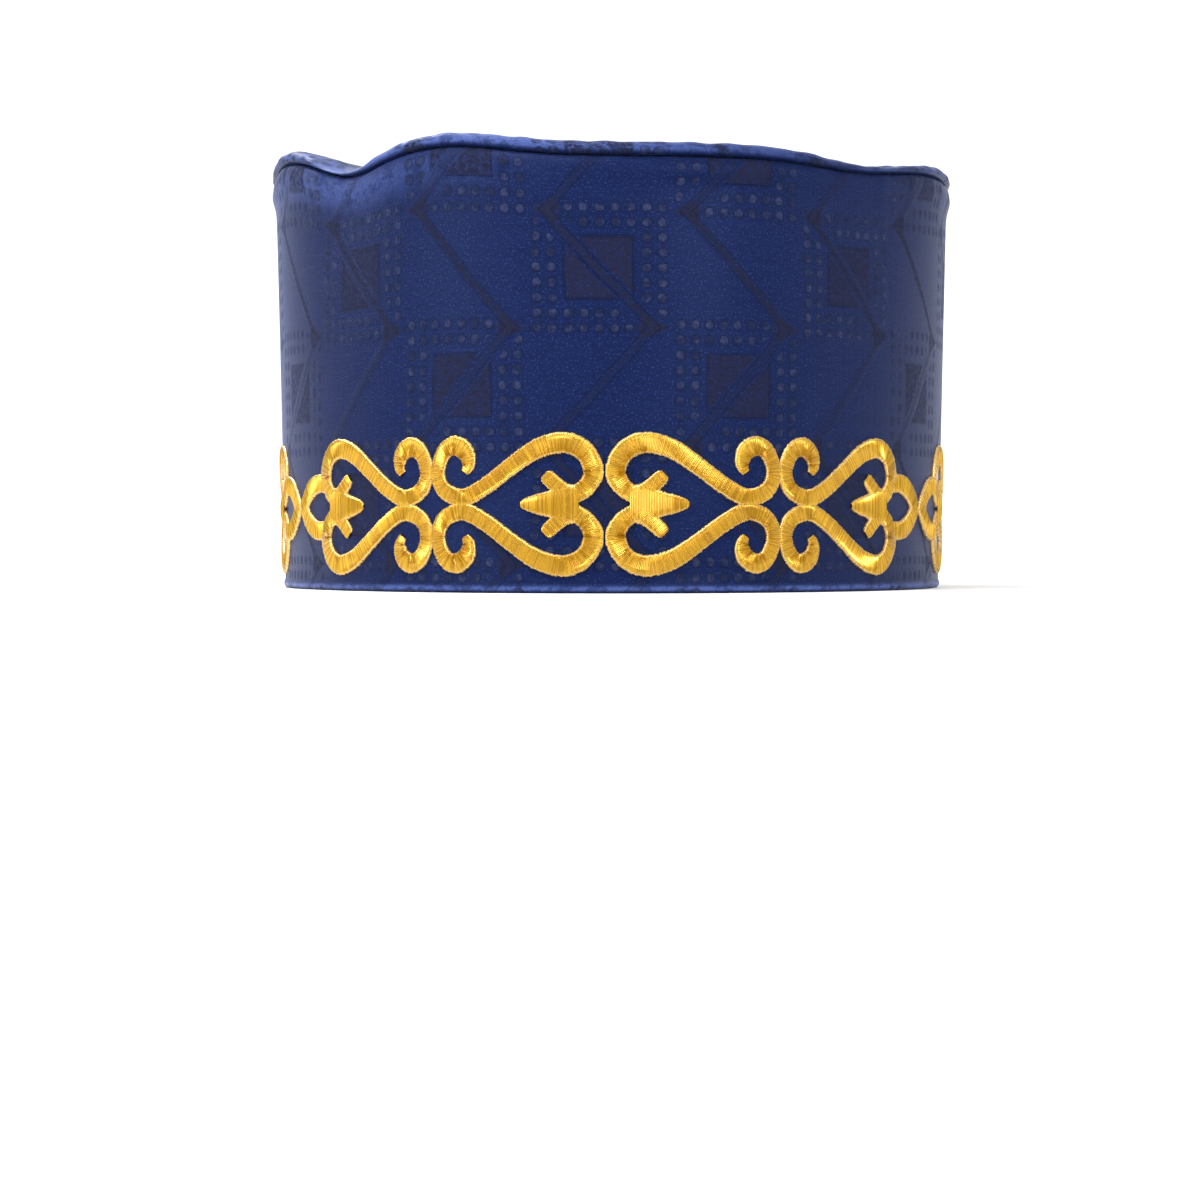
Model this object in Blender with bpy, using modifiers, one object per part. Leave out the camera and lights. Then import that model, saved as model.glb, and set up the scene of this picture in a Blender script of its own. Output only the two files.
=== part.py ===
"""Prayer cap: a flat-topped round cap of patterned satin with a raised scroll ornament.

The cap stands on its rim at z = 0, its front towards -Y. The side wall is an oval that changes
from the rim to the seam, the crown panel is sewn on in a soft roll, a thin lining fills both, and
six embroidered half ornaments, mirror images in pairs, lie around the lower wall.
"""

import math

import bmesh
import bpy
import numpy as np
from mathutils import Vector
from mathutils.geometry import delaunay_2d_cdt

MM = 0.001

# Oval of the rim: widest a little behind the middle, as a head is.
RIM_HALF_WIDTH = 85.0 * MM
RIM_FRONT_LENGTH = 100.3 * MM
RIM_BACK_LENGTH = 95.0 * MM
WIDEST_LINE_Y = (RIM_FRONT_LENGTH - RIM_BACK_LENGTH) / 2

# Oval of the seam between the wall and the crown panel, nearly round.
SEAM_HALF_WIDTH = 87.2 * MM
SEAM_FRONT_LENGTH = 86.0 * MM
SEAM_BACK_LENGTH = 86.0 * MM
SEAM_FRONT_HEIGHT = 98.6 * MM
SEAM_BACK_HEIGHT = 100.4 * MM
SEAM_SIDE_RISE = 2.6 * MM

# Cloth layers, each clear of the next.
WALL_THICKNESS = 1.8 * MM
CROWN_THICKNESS = 1.8 * MM
LINING_THICKNESS = 1.0 * MM
LINING_HEM_HEIGHT = 1.0 * MM
LAYER_GAP = 0.3 * MM

# Rounding of the rim's fold, and how far the wall's top edge turns in under the roll.
FOLD_SETBACK = 0.35 * MM
FOLD_EASE = 0.1 * MM
FOLD_TURN = 0.9 * MM
TOP_TURN_IN = 0.4 * MM

# Rings of the wall, from the rim to the seam: levels first, then drops below the seam.
OUTER_LEVELS = (0.25, 0.5, 0.75)
OUTER_DROPS = (8.0 * MM, 5.0 * MM, 3.0 * MM, 1.2 * MM)
INNER_DROPS = (3.0 * MM, 7.0 * MM)
INNER_LEVELS = (0.75, 0.4)

# Ridge that the seam allowance presses out of the wall, just below the seam.
RIDGE_OUTWARD = 0.8 * MM
RIDGE_DROP = 3.0 * MM
RIDGE_SPREAD = 2.6 * MM

# Soft waves and dents of the top edge, as they lie around the cap.
WAVE_COLUMNS = ("angle_deg", "spread_deg", "rise", "outward")
WAVES = (
    (-67, 15, 3.6 * MM, 0.8 * MM),
    (-47, 9, -2.8 * MM, -1.6 * MM),
    (-26, 13, 2.8 * MM, 0.3 * MM),
    (42, 13, -1.7 * MM, -1.0 * MM),
    (64, 14, 0.4 * MM, 0.6 * MM),
    (125, 20, -1.4 * MM, -0.6 * MM),
    (-140, 22, 1.2 * MM, 0.4 * MM),
)

# Roll of the crown's edge: where it tucks down behind the wall, it shows less.
TUCK_COLUMNS = ("angle_deg", "spread_deg", "share_lost")
ROLL_TUCKS = (
    (-50, 8, 0.70),
    (50, 14, 0.50),
    (150, 16, 0.40),
)
CROWN_SAG = 3.0 * MM

# Crown panel: its height above the seam, its rings, and the section of its roll.
PANEL_RISE = 2.6 * MM
PANEL_INSET = 5.0 * MM
PANEL_EDGE_INSET = 7.0 * MM
PANEL_SHARES = (0.35, 0.7)
ROLL_UNDERSIDE = -0.7 * MM
# Each row: how far it stands out, and how high above the seam.
ROLL_SECTION = (
    (0.1 * MM, 0.8 * MM),
    (0.5 * MM, 1.6 * MM),
    (0.3 * MM, 2.5 * MM),
    (-0.6 * MM, 3.3 * MM),
    (-2.0 * MM, 3.5 * MM),
    (-3.6 * MM, 3.1 * MM),
)
LINING_TOP_DROP = 1.4 * MM

SEGMENTS = 58
RIM_MEASURE_POINTS = 1441
CLOTH_SHARP_ANGLE = math.radians(50)
RELIEF_SHARP_ANGLE = math.radians(40)

# Ornament: an embroidered band around the lower wall, three whole repeats of two mirrored halves.
REPEATS = 3
ORNAMENT_CENTRE = -2.0 * MM
ORNAMENT_MIDLINE = 19.8 * MM
ORNAMENT_THICKNESS = 0.8 * MM
HALF_SPACING = 0.35 * MM
CROSS_AT = 41.3 * MM
ONION_TIP = 54.9 * MM

# Centre lines of the strokes, in millimetres. Each row: how far along the band from the cross
# towards the lobes, how far up from the band's midline, and the stroke's width.
HEART_STROKE = (
    (34.6, 1.9, 4.0),
    (37.4, 3.9, 4.2),
    (38.9, 7.2, 4.7),
    (37.4, 11.1, 4.6),
    (34.3, 13.3, 4.8),
    (30.6, 13.6, 4.8),
    (25.6, 12.0, 4.5),
    (19.8, 8.2, 4.1),
    (14.3, 4.3, 4.0),
    (9.1, 1.7, 4.1),
    (5.4, 2.1, 4.0),
    (2.7, 3.9, 3.9),
    (1.6, 7.0, 3.8),
    (2.3, 10.2, 3.9),
    (4.1, 12.6, 4.2),
    (6.6, 13.2, 4.6),
    (9.0, 11.7, 4.3),
    (9.7, 9.0, 3.3),
    (8.6, 6.9, 1.6),
)
ONION_STROKE = (
    (39.6, 5.6, 4.4),
    (43.4, 5.6, 4.6),
    (46.8, 4.7, 4.8),
    (50.0, 2.7, 4.6),
    (52.6, 0.0, 4.5),
    (54.0, -1.4, 2.4),
)
# Upper edge of the palmette. Each row: how far along from the cross, and how far up.
PALMETTE_EDGE = (
    (35.8, 4.2),
    (31.9, 4.6),
    (29.9, 6.9),
    (28.3, 7.8),
    (27.2, 6.8),
    (28.5, 3.3),
    (26.0, 2.6),
    (23.9, 1.8),
    (22.6, 0.7),
)
SPAN_LENGTH = 4.0
OUTLINE_MERGE = 0.05
MERGE = 0.02 * MM


def mix(start, end, share):
    return start + (end - start) * share


def bump(angle_deg, centre_deg, spread_deg):
    """A smooth hump of height 1 on the circle of directions."""
    apart = (angle_deg - centre_deg + 180) % 360 - 180
    return math.exp(-((apart / spread_deg) ** 2))


def wave(angle, column):
    """Sum of the waves at an angle from the front: their rise or how far they stand out."""
    total = 0.0
    for row in WAVES:
        values = dict(zip(WAVE_COLUMNS, row))
        total += values[column] * bump(math.degrees(angle), values["angle_deg"], values["spread_deg"])
    return total


def roll_share(angle):
    """How much of its full height the crown's roll shows at an angle from the front."""
    share = 1.0
    for row in ROLL_TUCKS:
        values = dict(zip(TUCK_COLUMNS, row))
        hump = bump(math.degrees(angle), values["angle_deg"], values["spread_deg"])
        share -= values["share_lost"] * hump
    return share


def base_height(angle):
    """Height of the seam before its waves, a little higher over the ears."""
    front_to_back = mix(SEAM_FRONT_HEIGHT, SEAM_BACK_HEIGHT, (1 - math.cos(angle)) / 2)
    return front_to_back + SEAM_SIDE_RISE * math.sin(angle) ** 2


def wall_point(angle, level, outward=0.0):
    """Point of the wall's outer face at a level from 0, the rim, to 1, the seam."""
    if math.cos(angle) > 0:
        length = mix(RIM_FRONT_LENGTH, SEAM_FRONT_LENGTH, level)
    else:
        length = mix(RIM_BACK_LENGTH, SEAM_BACK_LENGTH, level)
    width = mix(RIM_HALF_WIDTH, SEAM_HALF_WIDTH, level)
    height = base_height(angle)
    drop = (1 - level) * height
    out = outward + wave(angle, "outward") * level ** 3
    out += RIDGE_OUTWARD * math.exp(-(((drop - RIDGE_DROP) / RIDGE_SPREAD) ** 2))
    facing = Vector((length * math.sin(angle), -width * math.cos(angle), 0)).normalized()
    place = Vector((width * math.sin(angle), WIDEST_LINE_Y - length * math.cos(angle), 0))
    return place + facing * out + Vector((0, 0, level * height + wave(angle, "rise") * level ** 3))


def ring_angles():
    return [2 * math.pi * step / SEGMENTS for step in range(SEGMENTS)]


def wall_ring(outward, level=None, height=0.0, drop=None):
    """Ring around the wall at a level, at a height above the rim, or at a drop below the seam."""
    ring = []
    for angle in ring_angles():
        if drop is not None:
            share = 1 - drop / base_height(angle)
        elif level is not None:
            share = level
        else:
            share = height / base_height(angle)
        ring.append(wall_point(angle, share, outward))
    return ring


def inner_rings(outward):
    """Rings down the inside, at the same heights in the wall and the lining beside it."""
    rings = [wall_ring(outward, drop=drop) for drop in INNER_DROPS]
    return rings + [wall_ring(outward, level=level) for level in INNER_LEVELS]


def crown_ring(outward, rise, share=1.0, sag=0.0):
    """Ring above the seam. A share under 1 shrinks it towards the middle and calms its waves."""
    middle = Vector((0, WIDEST_LINE_Y, (SEAM_FRONT_HEIGHT + SEAM_BACK_HEIGHT) / 2))
    ring = []
    for angle in ring_angles():
        edge = wall_point(angle, 1.0, outward)
        place = middle.lerp(edge, share)
        place.z = mix(middle.z, base_height(angle), share) + wave(angle, "rise") * share ** 3
        place.z += rise - sag * (1 - share ** 2)
        ring.append(place)
    return ring


def roll_ring(outward, rise):
    """Ring on the crown's roll, whose height follows its tucks."""
    ring = crown_ring(outward, 0.0)
    for place, angle in zip(ring, ring_angles()):
        place.z += LAYER_GAP + (rise - LAYER_GAP) * roll_share(angle)
    return ring


def new_object(name, mesh, material):
    thing = bpy.data.objects.new(name, mesh)
    mesh.materials.append(material)
    parts.objects.link(thing)
    return thing


def loft(name, rings, material, round_section):
    """Join rings, given from the inside of the underside outwards and over the top, into a body.

    A round section closes on itself. Otherwise the first and last rings are single middle points.
    """
    mesh = bpy.data.meshes.new(name)
    body = bmesh.new()
    rows = [[body.verts.new(place) for place in ring] for ring in rings]
    pairs = list(zip(rows, rows[1:]))
    if round_section:
        pairs.append((rows[-1], rows[0]))
    for lower, upper in pairs:
        for here in range(SEGMENTS):
            there = (here + 1) % SEGMENTS
            corners = [
                lower[here % len(lower)],
                lower[there % len(lower)],
                upper[there % len(upper)],
                upper[here % len(upper)],
            ]
            body.faces.new(list(dict.fromkeys(corners)))
    body.to_mesh(mesh)
    body.free()
    mesh.shade_smooth()
    mesh.set_sharp_from_angle(angle=CLOTH_SHARP_ANGLE)
    return new_object(name, mesh, material)


def side_wall():
    """One layer of cloth turned in at the rim, where it stands on a narrow flat ring."""
    inner = -WALL_THICKNESS
    rings = [
        wall_ring(inner + FOLD_SETBACK, height=0.0),
        wall_ring(-FOLD_SETBACK, height=0.0),
        wall_ring(-FOLD_EASE, height=FOLD_SETBACK),
        wall_ring(0.0, height=FOLD_TURN),
    ]
    for level in OUTER_LEVELS:
        rings.append(wall_ring(0.0, level=level))
    for drop in OUTER_DROPS:
        rings.append(wall_ring(0.0, drop=drop))
    rings.append(wall_ring(-TOP_TURN_IN, drop=0.0))
    rings.append(wall_ring(inner, drop=0.0))
    rings += inner_rings(inner)
    rings.append(wall_ring(inner, height=FOLD_TURN))
    rings.append(wall_ring(inner + FOLD_EASE, height=FOLD_SETBACK))
    return loft("side_wall", rings, satin, round_section=True)


def crown_top():
    """The flat panel, sewn on so that its edge puffs up in a soft roll over the seam."""
    under_rise = PANEL_RISE - CROWN_THICKNESS
    rings = [crown_ring(-PANEL_INSET, under_rise, 0.0, CROWN_SAG)[:1]]
    for share in PANEL_SHARES:
        rings.append(crown_ring(-PANEL_INSET, under_rise, share, CROWN_SAG))
    rings.append(crown_ring(-PANEL_INSET, under_rise))
    rings.append(roll_ring(-WALL_THICKNESS, LAYER_GAP))
    rings.append(roll_ring(ROLL_UNDERSIDE, LAYER_GAP))
    for outward, rise in ROLL_SECTION:
        rings.append(roll_ring(outward, rise))
    rings.append(crown_ring(-PANEL_EDGE_INSET, PANEL_RISE))
    for share in reversed(PANEL_SHARES):
        rings.append(crown_ring(-PANEL_INSET, PANEL_RISE, share, CROWN_SAG))
    rings.append(crown_ring(-PANEL_INSET, PANEL_RISE, 0.0, CROWN_SAG)[:1])
    return loft("crown_top", rings, satin, round_section=False)


def lining():
    """Plain dark layer inside the wall and under the crown, hemmed just above the rim's fold."""
    outer = -WALL_THICKNESS - LAYER_GAP
    inner = outer - LINING_THICKNESS
    under_drop = LINING_TOP_DROP + LINING_THICKNESS
    rings = [crown_ring(inner, -under_drop, 0.0, CROWN_SAG)[:1]]
    for share in PANEL_SHARES:
        rings.append(crown_ring(inner, -under_drop, share, CROWN_SAG))
    rings.append(wall_ring(inner, drop=under_drop))
    rings += inner_rings(inner)
    rings.append(wall_ring(inner, height=LINING_HEM_HEIGHT))
    rings.append(wall_ring(outer, height=LINING_HEM_HEIGHT))
    rings += reversed(inner_rings(outer))
    rings.append(wall_ring(outer, drop=LINING_TOP_DROP))
    for share in reversed(PANEL_SHARES):
        rings.append(crown_ring(inner, -LINING_TOP_DROP, share, CROWN_SAG))
    rings.append(crown_ring(inner, -LINING_TOP_DROP, 0.0, CROWN_SAG)[:1])
    return loft("lining", rings, dark_lining, round_section=False)


def rim_measure():
    """Angles around the rim from the front, and the length of the rim from the front to each."""
    angles = np.linspace(-math.pi, math.pi, RIM_MEASURE_POINTS)
    places = np.array([wall_point(angle, 0.0)[:] for angle in angles])
    steps = np.linalg.norm(np.diff(places, axis=0), axis=1)
    lengths = np.concatenate([[0.0], np.cumsum(steps)])
    return angles, lengths - lengths[len(lengths) // 2]


def smooth_stroke(rows):
    """Points of a smooth line through a stroke's rows, about a span apart, with its width."""
    rows = [np.array(row) for row in rows]
    ends = [2 * rows[0] - rows[1], *rows, 2 * rows[-1] - rows[-2]]
    points = []
    for before, start, end, after in zip(ends, ends[1:], ends[2:], ends[3:]):
        count = max(1, round(math.dist(start[:2], end[:2]) / SPAN_LENGTH))
        for step in range(count):
            share = step / count
            bend = (2 * before - 5 * start + 4 * end - after) * share ** 2
            bend += (3 * start - before - 3 * end + after) * share ** 3
            points.append(start + ((end - before) * share + bend) / 2)
    points.append(rows[-1])
    return points


def stroke_pieces(rows):
    """Four-sided pieces along a stroke, edge to edge, as flat outlines in millimetres."""
    points = smooth_stroke(rows)
    sides = []
    for here, point in enumerate(points):
        before = points[max(here - 1, 0)]
        after = points[min(here + 1, len(points) - 1)]
        heading = (after - before)[:2] / math.dist(after[:2], before[:2])
        across = np.array((-heading[1], heading[0])) * point[2] / 2
        sides.append((point[:2] + across, point[:2] - across))
    return [[*start, *reversed(end)] for start, end in zip(sides, sides[1:])]


def half_ornament_outlines():
    """Flat pieces of one half of a repeat: two hearts with their scrolls, and the onion loop."""
    upper = stroke_pieces(HEART_STROKE)
    palmette = [np.array(point) for point in PALMETTE_EDGE]
    palmette += [point * (1, -1) for point in reversed(palmette)]
    near_lobes = upper + [[point * (1, -1) for point in piece] for piece in upper] + [palmette]
    loop = stroke_pieces(ONION_STROKE)
    loop += [[point * (1, -1) for point in piece] for piece in loop]
    cross = CROSS_AT / MM
    pieces = [[(cross - point[0], point[1]) for point in piece] for piece in near_lobes]
    pieces += [[(cross + point[0], point[1]) for point in piece] for piece in near_lobes + loop]
    return pieces


def counterclockwise(outline):
    area = sum(here.cross(there) for here, there in zip(outline, outline[1:] + outline[:1]))
    return outline if area > 0 else outline[::-1]


def ornament(name, centre, side):
    """One mirrored half of a repeat, laid on the wall: side is 1 to the right, -1 to the left."""
    angles, lengths = rim_measure()
    half_length = (lengths[-1] - lengths[0]) / REPEATS / 2
    stretch = (half_length - HALF_SPACING / 2) / (CROSS_AT + ONION_TIP)
    corners = []
    outlines = []
    for piece in half_ornament_outlines():
        outlines.append(range(len(corners), len(corners) + len(piece)))
        corners += counterclockwise([Vector(point) for point in piece])
    found = delaunay_2d_cdt(corners, [], outlines, 1, OUTLINE_MERGE)
    places, _, faces, _, _, sources = found
    mesh = bpy.data.meshes.new(name)
    body = bmesh.new()
    verts = []
    for place in places:
        along = max(place.x * MM * stretch, HALF_SPACING / 2)
        length = (centre + side * along - lengths[0]) % (lengths[-1] - lengths[0])
        angle = float(np.interp(lengths[0] + length, lengths, angles))
        level = (ORNAMENT_MIDLINE + place.y * MM) / base_height(angle)
        verts.append(body.verts.new(wall_point(angle, level, LAYER_GAP)))
    for face, source in zip(faces, sources):
        if source:
            body.faces.new([verts[corner] for corner in face[::side]])
    loose = [vert for vert in body.verts if not vert.link_faces]
    bmesh.ops.delete(body, geom=loose, context="VERTS")
    bmesh.ops.remove_doubles(body, verts=body.verts, dist=MERGE)
    body.to_mesh(mesh)
    body.free()
    mesh.shade_smooth()
    mesh.set_sharp_from_angle(angle=RELIEF_SHARP_ANGLE)
    thing = new_object(name, mesh, gold_thread)
    thickness = thing.modifiers.new("relief", "SOLIDIFY")
    thickness.thickness = ORNAMENT_THICKNESS
    thickness.offset = 1.0
    return thing


def all_ornaments():
    _, lengths = rim_measure()
    spacing = (lengths[-1] - lengths[0]) / REPEATS
    number = 1
    for repeat in range(REPEATS):
        for side in (-1, 1):
            ornament(f"ornament_{number}", ORNAMENT_CENTRE + repeat * spacing, side)
            number += 1


def new_material(name, colour, roughness, metallic):
    material = bpy.data.materials.new(name)
    material.use_nodes = True
    shader = material.node_tree.nodes["Principled BSDF"]
    shader.inputs["Base Color"].default_value = (*colour, 1)
    shader.inputs["Roughness"].default_value = roughness
    shader.inputs["Metallic"].default_value = metallic
    material.diffuse_color = (*colour, 1)
    return material


for old in list(bpy.data.objects):
    bpy.data.objects.remove(old, do_unlink=True)

parts = bpy.data.collections.new("prayer_cap")
bpy.context.scene.collection.children.link(parts)

satin = new_material("patterned_satin", (0.014, 0.030, 0.115), 0.38, 0.0)
dark_lining = new_material("dark_lining", (0.006, 0.007, 0.012), 0.70, 0.0)
gold_thread = new_material("gold_thread", (0.62, 0.34, 0.02), 0.35, 0.3)

side_wall()
crown_top()
lining()
all_ornaments()
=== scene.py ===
"""Prayer cap: woven satin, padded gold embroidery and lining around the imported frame.

The wall, the crown panel and the lining are each drawn as a profile on a plain round cap, turned
around its upright axis, and then fitted to the oval, the waves and the tucks of the frame. The
embroidery is laid stitch by stitch across its strokes. Everything is in metres unless it says mm.
"""

import math
import random

import bpy
import numpy as np
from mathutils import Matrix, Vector


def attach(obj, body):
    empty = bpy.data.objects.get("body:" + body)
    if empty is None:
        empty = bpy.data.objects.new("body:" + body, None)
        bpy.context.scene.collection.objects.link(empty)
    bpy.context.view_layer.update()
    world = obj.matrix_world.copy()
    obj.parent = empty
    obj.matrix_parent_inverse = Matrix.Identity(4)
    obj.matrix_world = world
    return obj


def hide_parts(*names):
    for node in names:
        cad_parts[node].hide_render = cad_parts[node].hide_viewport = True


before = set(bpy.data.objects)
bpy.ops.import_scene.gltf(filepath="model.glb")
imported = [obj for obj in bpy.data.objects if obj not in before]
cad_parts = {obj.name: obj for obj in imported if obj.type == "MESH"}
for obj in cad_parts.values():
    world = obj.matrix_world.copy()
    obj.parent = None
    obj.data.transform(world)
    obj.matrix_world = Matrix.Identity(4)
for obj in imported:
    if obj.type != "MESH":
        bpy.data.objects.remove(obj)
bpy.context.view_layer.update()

MM = 0.001

# Oval of the rim and of the seam, as the frame has them.
RIM_HALF_WIDTH = 85.0 * MM
RIM_FRONT_LENGTH = 100.3 * MM
RIM_BACK_LENGTH = 95.0 * MM
WIDEST_LINE_Y = (RIM_FRONT_LENGTH - RIM_BACK_LENGTH) / 2
SEAM_HALF_WIDTH = 87.2 * MM
SEAM_LENGTH = 86.0 * MM
SEAM_FRONT_HEIGHT = 98.6 * MM
SEAM_BACK_HEIGHT = 100.4 * MM
SEAM_SIDE_RISE = 2.6 * MM
CROWN_SAG = 3.0 * MM
LAYER_GAP = 0.3 * MM

# Ridge of the seam allowance under the wall's cloth.
RIDGE_OUTWARD = 0.8 * MM
RIDGE_DROP = 3.0 * MM
RIDGE_SPREAD = 2.6 * MM

# Waves of the top edge: angle from the front, spread, rise and how far it stands out.
WAVES = (
    (-67, 15, 3.6, 0.8),
    (-47, 9, -2.8, -1.6),
    (-26, 13, 2.8, 0.3),
    (42, 13, -1.7, -1.0),
    (64, 14, 0.4, 0.6),
    (125, 20, -1.4, -0.6),
    (-140, 22, 1.2, 0.4),
)
# Places where the roll tucks down behind the wall: angle, spread and share of its height lost.
TUCKS = ((-50, 8, 0.70), (50, 14, 0.50), (150, 16, 0.40))

# Plain round cap that every profile is drawn on, in mm. Wall profiles give how far out from its
# side and how high, the crown's the radius and the height over the seam, and the lining's the
# radius and the height from the seam.
PLAIN_RADIUS = 85.0
PLAIN_HEIGHT = 100.0
ROLL_INSIDE = 78.0
ROLL_MIDDLE = 82.7
ROLL_TOP = 3.5
WALL_THICKNESS = 1.8
LINING_RADIUS = 81.9
LINING_FLAT_RADIUS = 79.0
LINING_TOP_LEVEL = 0.976
CLOTH_COLUMNS = 480
LINING_COLUMNS = 300
BACK_CROWDING = 0.35
BACK_SEAM_ANGLE = 3.14

WALL_PROFILE_OUTSIDE = (
    (0.22, 0.6), (0.36, 1.0), (0.36, 1.35), (0.2, 1.8), (0.03, 2.3), (0.0, 5.0), (0.0, 9.0),
    (0.0, 14.0), (0.0, 20.0), (0.0, 26.0), (0.0, 33.0), (0.0, 40.0), (0.0, 47.0), (0.0, 54.0),
    (0.0, 61.0), (0.0, 68.0), (0.0, 74.0), (0.0, 79.0), (0.0, 83.0), (0.0, 86.0), (0.0, 88.5),
    (0.0, 90.5), (0.0, 92.2), (0.0, 93.6), (0.0, 94.8), (0.0, 95.8), (0.0, 96.7), (0.0, 97.5),
    (0.0, 98.2), (-0.02, 98.8), (-0.1, 99.3), (-0.3, 99.7), (-0.6, 99.93), (-1.0, 100.0),
)
WALL_PROFILE_INSIDE = (
    (-1.8, 99.9), (-1.8, 97.0), (-1.8, 93.0), (-1.8, 85.0), (-1.8, 75.0), (-1.8, 60.0),
    (-1.8, 40.0), (-1.8, 20.0), (-1.8, 8.0), (-1.8, 3.0), (-1.8, 0.9), (-1.7, 0.4),
    (-1.5, 0.1), (-1.2, 0.0), (-0.6, 0.0), (-0.25, 0.1), (0.0, 0.35),
)
CROWN_PROFILE = (
    (0.0, 0.8), (12.0, 0.8), (26.0, 0.8), (40.0, 0.8), (54.0, 0.8), (66.0, 0.8), (74.0, 0.8),
    (78.5, 0.75), (81.0, 0.55), (83.2, 0.3), (84.3, 0.32), (84.9, 0.55), (85.3, 0.95),
    (85.5, 1.4), (85.45, 1.9), (85.2, 2.4), (84.8, 2.85), (84.2, 3.2), (83.5, 3.42),
    (82.7, 3.5), (81.7, 3.42), (80.6, 3.2), (79.4, 2.9), (78.0, 2.6), (76.0, 2.45),
    (73.0, 2.5), (69.0, 2.6), (63.0, 2.6), (56.0, 2.6), (48.0, 2.6), (40.0, 2.6),
    (32.0, 2.6), (24.0, 2.6), (16.0, 2.6), (9.0, 2.6), (4.0, 2.6), (0.0, 2.6),
)
LINING_PROFILE = (
    (0.0, -2.4), (16.0, -2.4), (32.0, -2.4), (48.0, -2.4), (62.0, -2.4), (72.0, -2.4),
    (78.0, -2.45), (80.6, -2.9), (81.6, -3.8), (81.9, -5.5), (81.9, -10.0), (81.9, -16.0),
    (81.9, -25.0), (81.9, -36.0), (81.9, -48.0), (81.9, -60.0), (81.9, -72.0), (81.9, -84.0),
    (81.9, -93.0), (81.9, -97.0), (81.95, -98.5), (82.15, -98.9), (82.4, -99.0),
    (82.65, -98.9), (82.85, -98.5), (82.9, -97.0), (82.9, -90.0), (82.9, -70.0),
    (82.9, -50.0), (82.9, -30.0), (82.9, -10.0), (82.8, -3.0), (82.0, -1.7), (80.0, -1.42),
    (70.0, -1.4), (50.0, -1.4), (25.0, -1.4), (0.0, -1.4),
)

# Small relief of the cloth, in mm, and the strength of the highlights painted on its folds.
WALL_PUCKERS = 0.16
BACK_SEAM_DEPTH = 0.45
BACK_LIP_HEIGHT = 0.12
ROLL_PUCKERS_OUT = 0.09
ROLL_PUCKERS_UP = 0.16
PANEL_RIPPLE = 0.35
LINING_CREASES = 0.22
# Painted highlights: along the rim's fold, in a band below the seam, and on the roll, more on its
# front left.
RIM_PAINTED_HIGHLIGHT = 0.85
BELOW_SEAM_PAINTED_HIGHLIGHT = 0.45
ROLL_PAINTED_HIGHLIGHT = 0.28
ROLL_PAINTED_HIGHLIGHT_LEFT = 0.55
# How far the chart of the lining's flat top lies from that of its side, in mm.
LINING_FLAT_CHART = 200.0

# Embroidery, drawn in mm from the cross of a repeat: along the band, up from its middle, width.
REPEATS = 3
BAND_CENTRE = -2.0 * MM
BAND_MIDLINE = 19.8
HALF_SPACING = 0.35
CROSS_AT = 41.3
ONION_TIP = 54.9
HEART_STROKE = (
    (34.6, 1.9, 4.0), (37.4, 3.9, 4.2), (38.9, 7.2, 4.7), (37.4, 11.1, 4.6), (34.3, 13.3, 4.8),
    (30.6, 13.6, 4.8), (25.6, 12.0, 4.5), (19.8, 8.2, 4.1), (14.3, 4.3, 4.0), (9.1, 1.7, 4.1),
    (5.4, 2.1, 4.0), (2.7, 3.9, 3.9), (1.6, 7.0, 3.8), (2.3, 10.2, 3.9), (4.1, 12.6, 4.2),
    (6.6, 13.2, 4.6), (9.0, 11.7, 4.3), (9.7, 9.0, 3.3), (8.6, 6.9, 1.6),
)
ONION_STROKE = (
    (39.6, 5.6, 4.4), (43.4, 5.6, 4.6), (46.8, 4.7, 4.8), (50.0, 2.7, 4.6), (52.6, 0.0, 4.5),
    (54.0, -1.4, 2.4),
)
PALMETTE_STEM = (
    (22.3, 0.0, 0.9), (22.8, 0.0, 2.0), (23.9, 0.0, 3.1), (26.0, 0.0, 4.5), (28.5, 0.0, 5.8),
    (31.0, 0.0, 8.0), (33.4, 0.0, 8.9), (36.0, 0.0, 7.9),
)
PALMETTE_LOBE = (
    (33.4, 1.5, 4.4), (32.0, 2.9, 4.1), (30.4, 4.3, 3.7), (29.0, 5.6, 3.5), (28.3, 6.3, 3.1),
    (27.8, 6.8, 1.9),
)
STITCH_PITCH = 0.36
THREAD_WIDTH = 0.46
THREAD_FOOT = 0.14
THREAD_SUNK = 0.08
PAD_HEIGHT = 0.56
PAD_FULL_WIDTH = 4.2
HUMP_SQUARENESS = 5.0
# Distance between the copies in a row of stitches, before they are laid.
STITCH_APART = 10.0

# Hem stitches inside the rim, in mm.
HEM_STITCHES = 118
HEM_MIDDLE = 1.55
HEM_STITCH_HEIGHT = 2.4
HEM_STITCH_SLANT = 1.6

# Woven figure, in mm of cloth.
ZIGZAG_PERIOD = 54.0
ZIGZAG_APART = 32.0
ZIGZAG_SWING = 24.7
ZIGZAG_SHIFT = 15.8
LINE_HALF = 0.75
KNOT_HEIGHT = 87.0
KNOT_HALF = 2.9
SQUARE_SHIFT = 3.45
SQUARE_MIDDLE = 73.8
SQUARE_HALF = 7.1
SQUARE_STRETCH = 0.95
DOT_PITCH = 3.5
DOT_RADIUS = 1.05
RING_MIDDLE = 12.25
RING_HALF = 3.4
FIGURE_SWAY = 2.4
# Distance from a slanted line, as a share of the distance along the cloth.
LINE_SLANT = 0.737

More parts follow.
